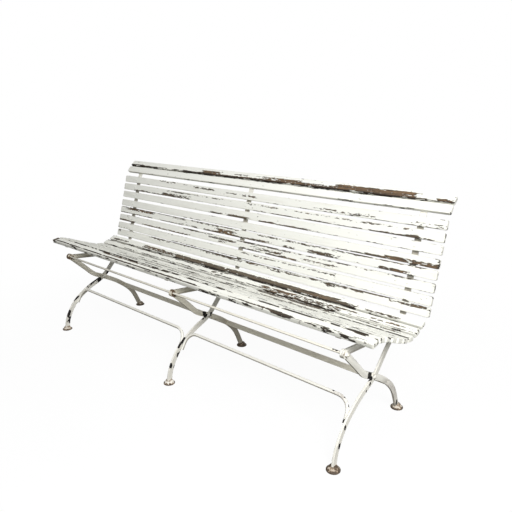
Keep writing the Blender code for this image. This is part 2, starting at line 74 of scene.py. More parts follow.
class Socket:
    """One output of a material's nodes, which takes part in sums as a number does."""

    def __init__(self, finish, output):
        self.finish = finish
        self.output = output

    def math(self, operation, first, second):
        return self.finish.add("Math", {"operation": operation}, {0: first, 1: second})

    def __add__(self, other):
        return self.math("ADD", self, other)

    def __sub__(self, other):
        return self.math("SUBTRACT", self, other)

    def __rsub__(self, other):
        return self.math("SUBTRACT", other, self)

    def __mul__(self, other):
        return self.math("MULTIPLY", self, other)

    def at_least(self, other):
        return self.math("MAXIMUM", self, other)

    __radd__ = __add__
    __rmul__ = __mul__


class Finish:
    """A material whose nodes are added one by one."""

    def __init__(self, name):
        self.material = bpy.data.materials.new(name)
        self.material.use_nodes = True
        self.nodes = self.material.node_tree.nodes
        self.shader = self.nodes["Principled BSDF"]

    def put(self, socket, value):
        if isinstance(value, Socket):
            self.material.node_tree.links.new(value.output, socket)
        else:
            socket.default_value = value

    def add(self, kind, settings, inputs, output=0):
        node = self.nodes.new("ShaderNode" + kind)
        for key, value in settings.items():
            setattr(node, key, value)
        for key, value in inputs.items():
            self.put(node.inputs[key], value)
        return Socket(self, node.outputs[output])

    def attribute(self, name, output="Fac"):
        return self.add("Attribute", {"attribute_name": name}, {}, output)

    def component(self, vector, axis):
        return self.add("SeparateXYZ", {}, {0: vector}, axis)

    def noise(self, place, stretch, detail=4, roughness=0.6):
        """Noise about 1 unit in size after the place is stretched; it lies round 0.5."""
        scaled = self.add("Mapping", {}, {"Vector": place, "Scale": stretch})
        return self.add("TexNoise", {},
                        {"Vector": scaled, "Scale": 1.0, "Detail": detail, "Roughness": roughness})

    def ramp(self, value, low, high):
        """A smooth step from 0 at low to 1 at high, which may be the lesser of the two."""
        return self.add("MapRange", {"interpolation_type": "SMOOTHSTEP"},
                        {"Value": value, "From Min": low, "From Max": high})

    def mix(self, factor, first, second):
        return self.add("Mix", {"data_type": "RGBA"}, {"Factor": factor, 6: first, 7: second}, 2)

    def near(self, place, centre, radius, stretch=(1, 1, 1)):
        """1 near a centre, falling to 0 at a radius; a stretch of 0 along X makes the centre an axis."""
        offset = self.add("VectorMath", {"operation": "SUBTRACT"}, {0: place, 1: centre})
        scaled = self.add("VectorMath", {"operation": "MULTIPLY"}, {0: offset, 1: stretch})
        distance = self.add("VectorMath", {"operation": "LENGTH"}, {0: scaled}, "Value")
        return self.ramp(distance, radius, 0.3 * radius)

    def cover(self, color, roughness, height, depth):
        """Set the colour, the roughness and a bump of a depth in metres."""
        self.put(self.shader.inputs["Base Color"], color)
        self.put(self.shader.inputs["Roughness"], roughness)
        bump = self.add("Bump", {}, {"Strength": 1.0, "Distance": depth, "Height": height})
        self.put(self.shader.inputs["Normal"], bump)


def joint_axis(name):
    return Vector(next(joint["pos_m"] for joint in frame["joints"] if joint["name"] == name))


crossing = joint_axis("leg_fold")
pivot = joint_axis("seat_lift")
ROUND_X = (0, 1, 1)
UPRIGHT_CHIP = (1, 1, 0.6)

# Paint colours: the shaded cream is the cream darkened and warmed as painted shade for irons that lie in
# shade, and the dark brown serves both grime and painted shade
CREAM_PAINT = (0.93, 0.915, 0.845, 1)
SHADED_CREAM = (0.85, 0.81, 0.69, 1)
CREAM_GRIME = (0.52, 0.47, 0.37, 1)
DARK_GRIME_AND_SHADE = (0.21, 0.175, 0.115, 1)
MOTTLED_PAINT = (0.44, 0.39, 0.355, 1)
BLACK_IRON = (0.012, 0.010, 0.009, 1)
IRON_RUST = (0.115, 0.072, 0.042, 1)
PALE_RUST = (0.37, 0.30, 0.20, 1)

# Larger chips on the legs, each with a centre and a radius, for the left, the middle and the right frame
LEG_CHIPS = (
    ((-0.889, -0.015, 0.265), 0.016), ((-0.889, -0.072, 0.234), 0.022), ((-0.896, -0.118, 0.216), 0.006),
    ((-0.897, -0.221, 0.154), 0.008), ((-0.897, -0.236, 0.142), 0.008), ((-0.896, -0.279, 0.081), 0.011),
    ((-0.889, -0.281, 0.051), 0.019),
    ((0.012, -0.068, 0.266), 0.022), ((0.012, -0.080, 0.252), 0.012), ((0.012, -0.025, 0.245), 0.016),
    ((0.012, -0.205, 0.190), 0.010), ((0.012, -0.220, 0.178), 0.011), ((0.012, -0.236, 0.163), 0.010),
    ((0.012, -0.244, 0.118), 0.014), ((0.012, -0.235, 0.127), 0.008), ((0.012, -0.289, 0.086), 0.014),
    ((0.012, -0.271, 0.072), 0.009),
    ((0.889, -0.070, 0.266), 0.023), ((0.897, -0.242, 0.139), 0.010), ((0.897, -0.275, 0.082), 0.010),
    ((0.889, 0.182, 0.030), 0.011), ((0.897, -0.078, 0.238), 0.009), ((0.897, -0.104, 0.220), 0.006),
)
# Stretches of the front legs' front edges that have worn dark
WORN_EDGES = (((-0.893, -0.110, 0.232), 0.070), ((-0.893, -0.228, 0.160), 0.036),
              ((-0.893, -0.275, 0.085), 0.036), ((0.008, -0.222, 0.172), 0.045))
# Chips along the last bend of the right front stretcher, and at its end
BEND_CHIPS = (((0.806, -0.180, 0.224), 0.007), ((0.856, -0.184, 0.213), 0.006),
              ((0.879, -0.195, 0.194), 0.007), ((0.886, -0.209, 0.170), 0.008),
              ((0.884, -0.227, 0.150), 0.010))
# Rough, stained stretches: the lower half of the right rear leg, and the last bend of that stretcher
MOTTLED = (((0.8846, 0.140, 0.120), 0.13), ((0.840, -0.182, 0.219), 0.055))

# Heights over which marks come in: wear on the edges of the front legs, painted shade behind the back,
# painted shadow under the seat, the lit top of the uprights that ends both, dirt and painted shade down the
# rear legs, and ground splashes
LEG_EDGE_HEIGHTS = (0.30, 0.26)
BACK_SHADE_HEIGHTS = (0.47, 0.52)
SEAT_SHADOW_HEIGHTS = (0.30, 0.43)
LIT_TOP_HEIGHTS = (0.83, 0.77)
REAR_LEG_HEIGHTS = (0.24, 0.04)
SPLASH_HEIGHTS = (0.14, 0.0)
# Places along the bench over which the lower rear legs grow dirty and darker with painted shade towards the
# left, the bare iron rusty towards the left, and the rear legs' paint goes from the shaded cream to the lit
# cream at the right, a painted light
DIRT_AND_SHADE_LEFT = (0.6, 0.1)
RUSTY_LEFT = (0.7, -0.2)
LIT_RIGHT = (0.2, 0.8)

# Reach of the wear round the rivets and of the rust round the rod
RUB_RADIUS = 0.030
KNUCKLE_RADIUS = 0.040
# How much loss takes the paint off and how much only stains it, and what chips and worn edges add to it
PAINT_GOES = (0.735, 0.755)
STAIN_COMES = (0.60, 0.75)
CHIP_LOSS = 0.42
EDGE_WEAR = 0.37
STRAY_EDGE_WEAR = 0.07
IRON_BUMP = 0.0006


def iron_paint(name, tone, chips=(), worn=0.0, rusty=0.0, at_edges=0.0, at_pivot=0.0, at_rear=0.0,
               shaded=0.15):
    """Paint on iron: worn is how much has flaked off, and rusty how brown the bare iron is.

    The next three say how much wear and painted shade lie on the front legs and uprights, with painted shadow
    under the seat, how much wear and rust lie round the rod, and how much dirt, painted shade and painted
    light lie on the rear legs. Faces that look up by less than shaded get painted shade and some grime.
    """
    finish = Finish(name)
    place = finish.add("TexCoord", {}, {}, "Object")
    along = finish.component(place, "X")
    height = finish.component(place, "Z")
    normal = finish.add("NewGeometry", {}, {}, "Normal")
    sideways = finish.add("Math", {"operation": "ABSOLUTE"}, {0: finish.component(normal, "X")})
    # Faces that look down are painted darker: painted shade, with some grime
    underside_shade_and_grime = finish.ramp(finish.component(normal, "Z"), shaded, shaded - 0.5)
    front = finish.ramp(finish.attribute("front"), 0.84, 0.93)
    on_edge = finish.ramp(sideways, 0.6, 0.3).at_least(front)
    narrow = on_edge * finish.ramp(height, *LEG_EDGE_HEIGHTS) * at_edges
    # Painted shadow of the seat on the uprights, strongest on their front faces, and painted shade behind the
    # back slats, fading out towards the lit top
    painted_seat_shadow = finish.ramp(height, *SEAT_SHADOW_HEIGHTS) * (0.58 + front * 0.4)
    painted_back_and_seat_shade = finish.ramp(height, *BACK_SHADE_HEIGHTS).at_least(painted_seat_shadow) * at_edges
    painted_back_and_seat_shade = painted_back_and_seat_shade * finish.ramp(height, *LIT_TOP_HEIGHTS)
    # The lower rear legs darken towards the left: dirt and painted shade
    low_left_dirt_and_shade = finish.ramp(height, *REAR_LEG_HEIGHTS) * finish.ramp(along, *DIRT_AND_SHADE_LEFT) * at_rear
    rubbed = finish.near(place, crossing, RUB_RADIUS, ROUND_X)
    knuckle = finish.near(place, pivot, KNUCKLE_RADIUS, ROUND_X) * at_pivot
    rusty_end = finish.ramp(along, *RUSTY_LEFT)
    near_ground = finish.ramp(height, *SPLASH_HEIGHTS)

    flakes = finish.noise(place, (55, 55, 38))
    stretches = finish.ramp(finish.noise(place, (7, 7, 7), 2, 0.5), 0.48, 0.60)
    marks = rubbed * 0.35
    for centre, radius in chips:
        marks = marks.at_least(finish.near(place, centre, radius, UPRIGHT_CHIP))
    worn_edges = stretches * STRAY_EDGE_WEAR
    for centre, radius in WORN_EDGES:
        worn_edges = worn_edges.at_least(finish.near(place, centre, radius) * EDGE_WEAR)
    knuckle_loss = knuckle * (0.08 + rusty_end * 0.20)
    loss = flakes + marks * CHIP_LOSS + narrow * worn_edges + knuckle_loss + near_ground * 0.05 + worn
    bare = finish.ramp(loss, *PAINT_GOES)
    stained = finish.ramp(loss, *STAIN_COMES)

    clouds = finish.noise(place, (9, 9, 9), 3)
    brown = finish.ramp(clouds + knuckle * 0.6 + near_ground * 0.15 - marks * 0.5 + rusty, 0.55, 0.75)
    grimy = finish.ramp(finish.noise(place, (14, 14, 6)), 0.5, 0.85)
    # Painted shade and grime take the paint towards dark brown
    grime_and_painted_shade = (underside_shade_and_grime * 0.64).at_least(painted_back_and_seat_shade * 0.65).at_least(low_left_dirt_and_shade * 0.50)
    # The rear legs' paint goes from the shaded cream at the left to the lit cream at the right: painted light
    # and shade
    paint = finish.mix(finish.ramp(along, *LIT_RIGHT) * at_rear, tone, CREAM_PAINT)
    paint = finish.mix(grimy * 0.3 + narrow * 0.1, paint, CREAM_GRIME)
    paint = finish.mix(grime_and_painted_shade, paint, DARK_GRIME_AND_SHADE)
    paint = finish.mix(stained * (0.10 + knuckle * 0.5), paint, PALE_RUST)
    speckle = finish.ramp(finish.noise(place, (90, 90, 90), 3), 0.45, 0.6)
    for centre, radius in MOTTLED:
        rough = finish.near(place, centre, radius) * (0.22 + speckle * 0.45)
        paint = finish.mix(rough, paint, MOTTLED_PAINT)
    iron = finish.mix(brown, BLACK_IRON, IRON_RUST)
    finish.cover(finish.mix(bare, paint, iron), 0.45 + bare * 0.35, clouds * 0.3 - bare * 0.5, IRON_BUMP)
    return finish.material


leg_paint = iron_paint("cream_paint_on_legs", CREAM_PAINT, LEG_CHIPS, at_edges=1.0)
# The rear legs and the straps, which lie in shade, take the shaded cream as painted shade
rear_paint = iron_paint("shaded_grimy_paint_on_rear_legs", SHADED_CREAM, LEG_CHIPS, at_pivot=1.0, at_rear=1.0)
stretcher_paint = iron_paint("cream_paint_on_stretchers", CREAM_PAINT, BEND_CHIPS, worn=-0.02, shaded=0.45)
strap_paint = iron_paint("shaded_grimy_paint_on_straps", SHADED_CREAM, worn=-0.02)

# Angles up to which flat and round pieces shade smoothly, past which edges are eased, and of level faces
FLAT_ANGLE = radians(28)
ROUND_ANGLE = radians(50)
EASED_ANGLE = radians(40)
LEVEL_ANGLE = radians(0.5)
WELD_REACH = 0.00001
LEG_EASE = 0.0005
STRAP_EASE = 0.0009
LOOKS_FORWARD = -0.1


def only(piece):
    """Make a piece the one selected and active object."""
    bpy.ops.object.select_all(action="DESELECT")
    piece.select_set(True)
    bpy.context.view_layer.objects.active = piece


def apply_all(piece):
    only(piece)
    for modifier in list(piece.modifiers):
        bpy.ops.object.modifier_apply(modifier=modifier.name)


def painted_copy(node, material, ease, smooth):
    """A welded copy of a CAD iron, with its edges eased when ease is not 0, which stands for it on its own
    body.
    """
    source = frame["nodes"][node]
    piece = bpy.data.objects.new("painted_" + node, source.data.copy())
    bpy.context.scene.collection.objects.link(piece)
    piece.data.materials.clear()
    piece.data.materials.append(material)
    only(piece)
    bpy.ops.object.mode_set(mode="EDIT")
    bpy.ops.mesh.select_all(action="SELECT")
    bpy.ops.mesh.remove_doubles(threshold=WELD_REACH)
    bpy.ops.mesh.dissolve_limited(angle_limit=LEVEL_ANGLE)
    bpy.ops.object.mode_set(mode="OBJECT")
    if ease:
        bevel = piece.modifiers.new("eased_edges", "BEVEL")
        bevel.width = ease
        bevel.segments = 2
        bevel.limit_method = "ANGLE"
        bevel.angle_limit = EASED_ANGLE
        apply_all(piece)
    bpy.ops.object.shade_smooth_by_angle(angle=smooth)
    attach(piece, source["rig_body"])
    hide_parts(node)
    return piece


def nodes_named(*starts):
    return sorted(name for name in frame["nodes"] if name.startswith(starts))


for node in nodes_named("frame_bar"):
    bar = painted_copy(node, leg_paint, 0, FLAT_ANGLE)
    mark = bar.data.attributes.new("front", "FLOAT", "POINT")
    forward = [float(normal.vector.y < LOOKS_FORWARD) for normal in bar.data.vertex_normals]
    mark.data.foreach_set("value", forward)
for node in nodes_named("rear_leg", "seat_bar"):
    painted_copy(node, rear_paint, LEG_EASE, FLAT_ANGLE)
for node in nodes_named("crossing_rivet", "hook_pin"):
    painted_copy(node, leg_paint, 0, ROUND_ANGLE)
for node in nodes_named("front_stretcher"):
    painted_copy(node, stretcher_paint, 0, ROUND_ANGLE)
for node in nodes_named("rear_stretcher", "seat_strap", "seat_packing"):
    painted_copy(node, strap_paint, STRAP_EASE, FLAT_ANGLE)


# The rod that joins the tops of the rear legs, its nuts and the washers beside the seat bars are steel.
# The rod has kept its paint, and the nuts and washers have rusted through theirs.

ROD_CHIPS = (((0.850, -0.245, 0.425), 0.012), ((0.838, -0.245, 0.427), 0.009))
ROD_CREAM = (0.86, 0.83, 0.735, 1)
ROD_EASE = 0.0004
rod_paint = iron_paint("cream_paint_on_rod", ROD_CREAM, ROD_CHIPS, worn=-0.06, rusty=0.5)
nut_paint = iron_paint("rusty_paint_on_nuts", CREAM_PAINT, rusty=0.1, at_pivot=1.0)
washer_paint = iron_paint("worn_paint_on_washers", CREAM_PAINT, worn=0.35, rusty=0.1, at_pivot=1.0)
painted_copy("pivot_rod", rod_paint, ROD_EASE, ROUND_ANGLE)
for node in nodes_named("rod_nut"):
    painted_copy(node, nut_paint, ROD_EASE, FLAT_ANGLE)
for node in nodes_named("pivot_washer"):
    painted_copy(node, washer_paint, ROD_EASE, FLAT_ANGLE)


# The feet are forged pads riveted under the legs, flared like a bell to a thin rim.
# Wet ground has taken much of their paint, and tan rust speckles the rest.

FOOT_PAINT = (0.70, 0.64, 0.55, 1)
FOOT_TAN = (0.36, 0.27, 0.19, 1)
FOOT_DARK = (0.085, 0.060, 0.040, 1)
RIM_HEIGHTS = (0.010, 0.004)
NECK_REACH = 0.004
FOOT_BUMP = 0.0007
# How much more or less each pad has worn than most; the middle rear pad's large value is partly painted shade
FOOT_WORN = {"front_foot_left": -0.02, "front_foot_middle": -0.06, "front_foot_right": 0.05,
             "rear_foot_left": 0.02, "rear_foot_middle": 0.18, "rear_foot_right": -0.029}
foot_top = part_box("front_foot_left")[1].z

speckled = Finish("speckled_rust_on_feet")
foot_place = speckled.add("TexCoord", {}, {}, "Object")
foot_height = speckled.component(foot_place, "Z")
foot_worn = speckled.attribute("worn")
speckle = speckled.noise(foot_place, (130, 130, 130), 4, 0.65)
blotch = speckled.noise(foot_place, (55, 55, 55), 2, 0.5)
rim = speckled.ramp(foot_height, *RIM_HEIGHTS)
neck = speckled.ramp(foot_height, foot_top - NECK_REACH, foot_top)
foot_loss = speckle * 0.9 + blotch * 0.5 - 0.15 + rim * 0.18 + neck * 0.10 + foot_worn
tan = speckled.ramp(foot_loss, 0.50, 0.60)
dark = speckled.ramp(foot_loss, 0.63, 0.68)
foot_paint = speckled.mix(speckled.ramp(foot_worn, -0.03, -0.08), FOOT_PAINT, CREAM_PAINT)
foot_color = speckled.mix(dark, speckled.mix(tan, foot_paint, FOOT_TAN), FOOT_DARK)
speckled.cover(foot_color, 0.75, speckle - dark * 0.5, FOOT_BUMP)

for node, worn in FOOT_WORN.items():
    foot = painted_copy(node, speckled.material, 0, ROUND_ANGLE)
    mark = foot.data.attributes.new("worn", "FLOAT", "POINT")
    mark.data.foreach_set("value", [worn] * len(foot.data.vertices))


# The slats are planed softwood boards with rounded edges, one size for the seat and the back.
# Thick white paint has cracked along the grain and flaked off in long streaks, down to grey-brown wood.
# Each board is cut from one master, then warped and worn by itself.

slat_nodes = nodes_named("back_slat", "seat_slat")
LENGTH_CUTS = 360
WIDTH_CUTS = 14
SLAT_EDGE = 0.0025
SHARP_ANGLE = radians(60)
X_AXIS = Vector((1, 0, 0))


def board_axes(node):
    """Middle of a CAD slat, its direction across and its face direction."""
    facets = frame["nodes"][node].data.polygons
    widest = max(facets, key=lambda facet: (round(facet.area, 6), facet.normal.z - facet.normal.y))
    face = widest.normal.copy()
    low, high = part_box(node)
    return (low + high) / 2, face.cross(X_AXIS), face


def board_size(node):
    middle, across, face = board_axes(node)
    corners = [vertex.co - middle for vertex in frame["nodes"][node].data.vertices]
    return [2 * max(abs(corner.dot(axis)) for corner in corners) for axis in (X_AXIS, across, face)]


slat_length, slat_width, slat_thick = board_size(slat_nodes[0])

bpy.ops.object.select_all(action="DESELECT")
bpy.ops.mesh.primitive_grid_add(x_subdivisions=LENGTH_CUTS, y_subdivisions=WIDTH_CUTS, size=1)
master_slat = bpy.context.object
master_slat.scale = (slat_length, slat_width, 1)
master_slat.location = (0, 0, slat_thick / 2)
bpy.ops.object.transform_apply(location=True, scale=True)
thickness = master_slat.modifiers.new("thickness", "SOLIDIFY")
thickness.thickness = slat_thick
thickness.offset = -1
apply_all(master_slat)
bpy.ops.object.mode_set(mode="EDIT")
bpy.ops.mesh.select_mode(type="EDGE")
bpy.ops.mesh.select_all(action="DESELECT")
bpy.ops.mesh.edges_select_sharp(sharpness=SHARP_ANGLE)
bpy.ops.mesh.bevel(offset=SLAT_EDGE, segments=3)
bpy.ops.object.mode_set(mode="OBJECT")
bpy.ops.object.shade_smooth_by_angle(angle=ROUND_ANGLE)

# Where the paint has gone from each slat: how much everywhere, then patches with their start and end along
# the bench, their start and end across the slat, from its lower or front edge at -1 to its upper or rear
# edge at 1, and how much has gone there. The last list has cracks, given likewise, that are black with dirt.
SLAT_WEAR = {
    "back_slat_10": (0.05, ((-0.36, -0.24, -0.9, 0.15, 0.90), (-0.26, 0.42, -1, -0.72, 1.0),
                            (-0.12, -0.04, -0.3, 0.1, 0.66), (0.05, 0.16, -0.7, 0.1, 0.66),
                            (0.16, 0.28, -0.6, 0.15, 0.90), (0.28, 0.50, -0.85, -0.3, 0.86),
                            (0.50, 0.83, -0.9, 0.4, 1.02), (0.83, 1.0, -1, -0.85, 0.85),
                            (0.94, 0.99, -1, -0.4, 0.9)),
                    ((-1.0, -0.88, -1, -0.55, 0.95), (-0.84, -0.70, -1, -0.70, 0.86),
                     (-0.66, -0.54, -1, -0.70, 0.92), (-0.50, -0.30, -1, -0.70, 0.92),
                     (-0.62, 0.69, -1, -0.93, 1.08))),
    "back_slat_09": (0.0, ((-0.48, 0.66, 0.96, 1, 0.95),), ()),
    "back_slat_08": (0.04, ((-0.65, -0.43, 0.55, 0.8, 0.5), (-0.37, -0.23, 0.15, 0.45, 0.64),
                            (-0.12, -0.05, -0.1, 0.15, 0.70), (-0.02, 0.06, -0.15, 0.1, 0.85),
                            (0.42, 0.70, -0.8, -0.3, 0.62), (0.88, 0.98, -0.8, -0.2, 0.55),
                            (0.16, 0.98, -1, -0.95, 0.62)), ()),
    "back_slat_07": (0.04, ((-0.9, -0.4, -0.9, -0.65, 0.86), (-0.62, -0.42, -0.85, -0.15, 0.84),
                            (-0.4, -0.13, -1, -0.92, 0.6), (-0.58, -0.16, 0.5, 0.7, 0.68),
                            (0.04, 0.25, 0.5, 0.7, 0.6), (0.33, 0.85, 0.5, 0.7, 0.58),
                            (0.09, 0.65, -1, -0.88, 0.8), (0.70, 0.95, -1, -0.8, 0.88),
                            (0.86, 0.90, -1, -0.4, 0.9)), ()),
    "back_slat_06": (0.02, ((-0.21, -0.14, -1, -0.65, 0.88), (-0.08, 0.02, -1, -0.55, 1.0),
                            (0.12, 0.20, -1, -0.65, 0.92), (0.24, 0.39, -1, -0.75, 0.88),
                            (0.39, 1.0, -1, -0.96, 0.55)), ()),
    "back_slat_05": (0.02, ((-0.42, -0.30, -1, -0.85, 0.84), (-0.3, 0.5, -1, -0.96, 0.5),
                            (0.55, 0.69, -1, -0.8, 0.82), (0.71, 0.85, -1, -0.6, 0.95),
                            (0.80, 0.99, -1, -0.2, 0.98)), ()),
    "back_slat_04": (0.05, ((-0.92, -0.70, 0.30, 0.75, 0.84), (-0.99, -0.67, -1, -0.85, 0.84),
                            (-0.61, -0.48, -1, -0.85, 0.84), (-0.48, 0.0, 0.6, 0.9, 0.62),
                            (-0.44, -0.32, -1, -0.6, 0.85), (-0.24, -0.16, -1, -0.6, 0.92),
                            (-0.14, -0.05, -0.9, 0.2, 0.92), (-0.04, 0.18, -1, -0.55, 0.84),
                            (0.13, 0.6, 0.6, 0.9, 0.62), (0.29, 0.34, -1, -0.5, 0.85),
                            (0.44, 0.55, -1, -0.25, 0.84), (0.55, 0.92, 0.85, 1, 0.80),
                            (0.78, 0.88, -1, -0.45, 0.80)),
                    ((-0.95, -0.25, 0.92, 1, 1.05),)),
    "back_slat_03": (0.05, ((-0.99, -0.85, -1, -0.55, 0.92), (-0.75, -0.38, -1, -0.65, 0.82),
                            (-0.4, -0.2, 0.65, 0.95, 0.62), (-0.19, -0.04, 0.0, 0.35, 0.88),
                            (0.0, 0.29, 0.7, 1, 0.80), (0.29, 1.0, 0.8, 1, 0.58),
                            (-0.13, -0.08, -0.6, -0.3, 0.68), (0.11, 0.28, -0.35, 0.2, 0.68),
                            (0.04, 0.35, -1, -0.7, 0.80), (0.41, 0.56, -0.3, 0.0, 0.76)), ()),
    "back_slat_02": (0.03, ((-0.99, -0.88, -0.8, -0.5, 0.72), (0.04, 0.57, 0.35, 0.6, 0.66),
                            (-0.48, 0.13, -1, -0.9, 0.72), (0.13, 1.0, -1, -0.95, 0.58)), ()),
    "back_slat_01": (0.04, ((-0.99, -0.97, 0.4, 0.7, 0.8), (-0.66, -0.50, 0.6, 1, 0.66),
                            (-0.50, -0.22, 0.8, 1, 0.64), (-0.22, 0.04, 0.45, 1, 0.68),
                            (0.09, 0.72, 0.60, 1, 0.80), (0.72, 0.94, 0.8, 1, 0.68),
                            (0.24, 0.29, 0.3, 1, 0.85), (0.54, 0.58, 0.2, 1, 0.85),
                            (0.84, 0.96, 0.4, 1, 0.66)),
                    ((-0.46, 0.12, 0.97, 1, 1.05),)),
    "seat_slat_09": (0.03, ((-0.96, -0.84, -0.6, -0.1, 0.80), (-0.66, -0.50, -0.8, 0.3, 0.82),
                            (-0.50, -0.38, -0.8, 0.2, 0.92), (-0.38, 0.62, -1, 0.2, 1.05),
                            (0.62, 0.72, -1, -0.2, 0.85), (0.78, 0.90, -0.9, -0.4, 0.9)), ()),
    "seat_slat_08": (0.03, ((0.27, 0.74, -0.1, 0.4, 0.80), (-1.0, 0.02, 0.75, 1, 0.72),
                            (-0.80, 0.28, -0.8, -0.5, 0.66), (-0.06, 0.0, -0.2, 0.4, 0.75),
                            (0.27, 0.66, -1, -0.3, 0.74), (0.82, 0.97, -0.1, 0.2, 0.80)),
                    ((-1.0, -0.35, 0.92, 1, 0.90), (-0.80, 0.28, -0.75, -0.6, 0.74),
                     (0.70, 1.0, -0.8, -0.7, 0.70))),
    "seat_slat_07": (0.02, ((-0.72, 0.19, 0.75, 1, 0.70), (0.28, 0.64, -0.3, 1, 0.86),
                            (0.66, 0.82, 0.3, 0.7, 0.66), (0.82, 0.93, 0.0, 0.5, 0.84)),
                    ((-0.95, 0.19, 0.92, 1, 0.84), (-0.5, 0.2, -0.9, -0.8, 0.70),
                     (0.66, 1.0, -1, -0.92, 0.84))),
    "seat_slat_06": (0.02, ((0.0, 0.12, -0.4, 0.6, 0.84), (0.35, 0.60, -0.5, 1, 0.82)),
                    ((-0.95, -0.5, 0.92, 1, 0.78), (-0.5, -0.05, 0.85, 1, 0.98), (0.1, 0.5, -1, -0.92, 0.82),
                     (-0.1, 0.12, -0.6, 0.2, 0.85), (0.62, 1.0, 0.92, 1, 0.86))),
    "seat_slat_05": (0.02, ((-0.44, -0.2, 0.0, 0.8, 0.76), (-0.13, 0.02, 0.2, 1, 0.78)),
                    ((-0.55, 0.1, 0.85, 1, 1.0), (0.3, 0.98, 0.92, 1, 0.88), (-0.45, 0.05, -0.6, -0.3, 0.85),
                     (-0.95, -0.55, 0.92, 1, 0.78))),
    "seat_slat_04": (0.02, ((-0.45, -0.2, -0.5, 0.5, 0.70), (-0.08, 0.02, 0.0, 1, 0.76)),
                    ((-0.45, 0.0, 0.85, 1, 1.0), (-0.9, -0.6, 0.85, 1, 0.90), (-0.4, 0.0, -0.3, 0.0, 0.80),
                     (0.35, 0.98, 0.92, 1, 0.86))),
    "seat_slat_03": (0.02, ((-0.5, 0.2, -1, -0.75, 0.60), (0.75, 0.95, -0.5, 0.5, 0.50)),
                    ((-0.5, 0.2, -1, -0.85, 0.95), (0.3, 0.95, 0.92, 1, 0.88), (-0.9, -0.2, 0.85, 1, 0.73))),
    "seat_slat_02": (0.02, ((-0.55, 0.28, -1, -0.7, 0.78), (0.6, 0.95, -0.2, 0.6, 0.50)),
                    ((-0.95, 0.28, -1, -0.92, 0.74), (-0.3, 0.3, 0.92, 1, 0.80), (0.5, 0.95, -1, -0.92, 0.84),
                     (0.45, 0.98, 0.92, 1, 0.84))),
    "seat_slat_01": (0.03, ((-1.0, -0.978, -1, 1, 1.2), (0.46, 0.62, -0.7, -0.3, 0.70),
                            (-0.52, -0.26, 0.55, 1, 0.94), (-0.22, -0.06, 0.65, 1, 0.90)),
                    ((-0.94, 0.18, -0.66, -0.36, 1.30), (0.28, 1.0, -0.52, -0.45, 0.84),
                     (-0.55, 0.28, 0.92, 1, 0.92), (0.5, 0.9, 0.95, 1, 0.68), (0.92, 1.0, 0.6, 1, 0.85),
                     (0.60, 0.77, -0.9, -0.75, 0.98), (0.81, 0.86, -0.95, -0.8, 0.86),
                     (0.88, 0.93, -0.95, -0.85, 0.80))),
}
# How softly patches end along and across a slat, and how far dirt and painted edge shade reach in from its
# edges and ends
WEAR_END = 0.05
WEAR_SIDE = 0.22
EDGE_REACH = 0.004
END_REACH = 0.012
EDGE_LOSS = {"back_frame": 0.20, "seat": 0.32}
BACK_LOSS = 0.20
BROWN_SLAT = "back_slat_10"
# Where the face and the back of a slat begin, in shares of its thickness
FACE_FROM = 0.49
BACK_FROM = -0.3
# How deep bare wood lies below the paint, and the wear from which it does
PAINT_THICK = 0.0004
BARE_FROM = 0.7
CORNER_ROUND = 0.006
MOST_BOW = 0.0012
GRAIN_SHIFT = 9
# How far some back slats have slipped down on their bolts, so that the gaps are uneven
SLAT_SLIP = {"back_slat_05": 0.0050, "back_slat_04": 0.0010, "back_slat_03": 0.0030,
             "back_slat_02": 0.0050, "back_slat_01": 0.0010}

frame_places = sorted(sum(corner.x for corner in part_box(node)) / 2 for node in nodes_named("frame_bar"))


def bow(x, sizes):
    """Bend of a board: none at the frames, a bow in each bay and a droop at each end."""
    left, middle, right = frame_places
    half = slat_length / 2
    between = [np.sin(pi * np.clip((x - a) / (b - a), 0, 1)) for a, b in ((left, middle), (middle, right))]
    ends = [np.clip((left - x) / (half + left), 0, 1), np.clip((x - right) / (half - right), 0, 1)]
    return -sum(size * shape for size, shape in zip(sizes, between + ends))


def fade(value, low, high, soft):
    """1 between low and high, falling to 0 over a soft width outside."""
    inside = np.minimum(value - low, high - value)
    return np.clip(1 + inside / soft, 0, 1)


def round_corners(points):
    """Draw a board's ends in towards its corners, as if worn round."""
    x, y = points[:, 0], points[:, 1]
    off = np.clip(1 - (slat_width / 2 - abs(y)) / CORNER_ROUND, 0, 1)
    pull = np.clip(1 - (slat_length / 2 - abs(x)) / (3 * CORNER_ROUND), 0, 1)
    points[:, 0] -= np.sign(x) * pull * CORNER_ROUND * (1 - np.sqrt(1 - off ** 2))


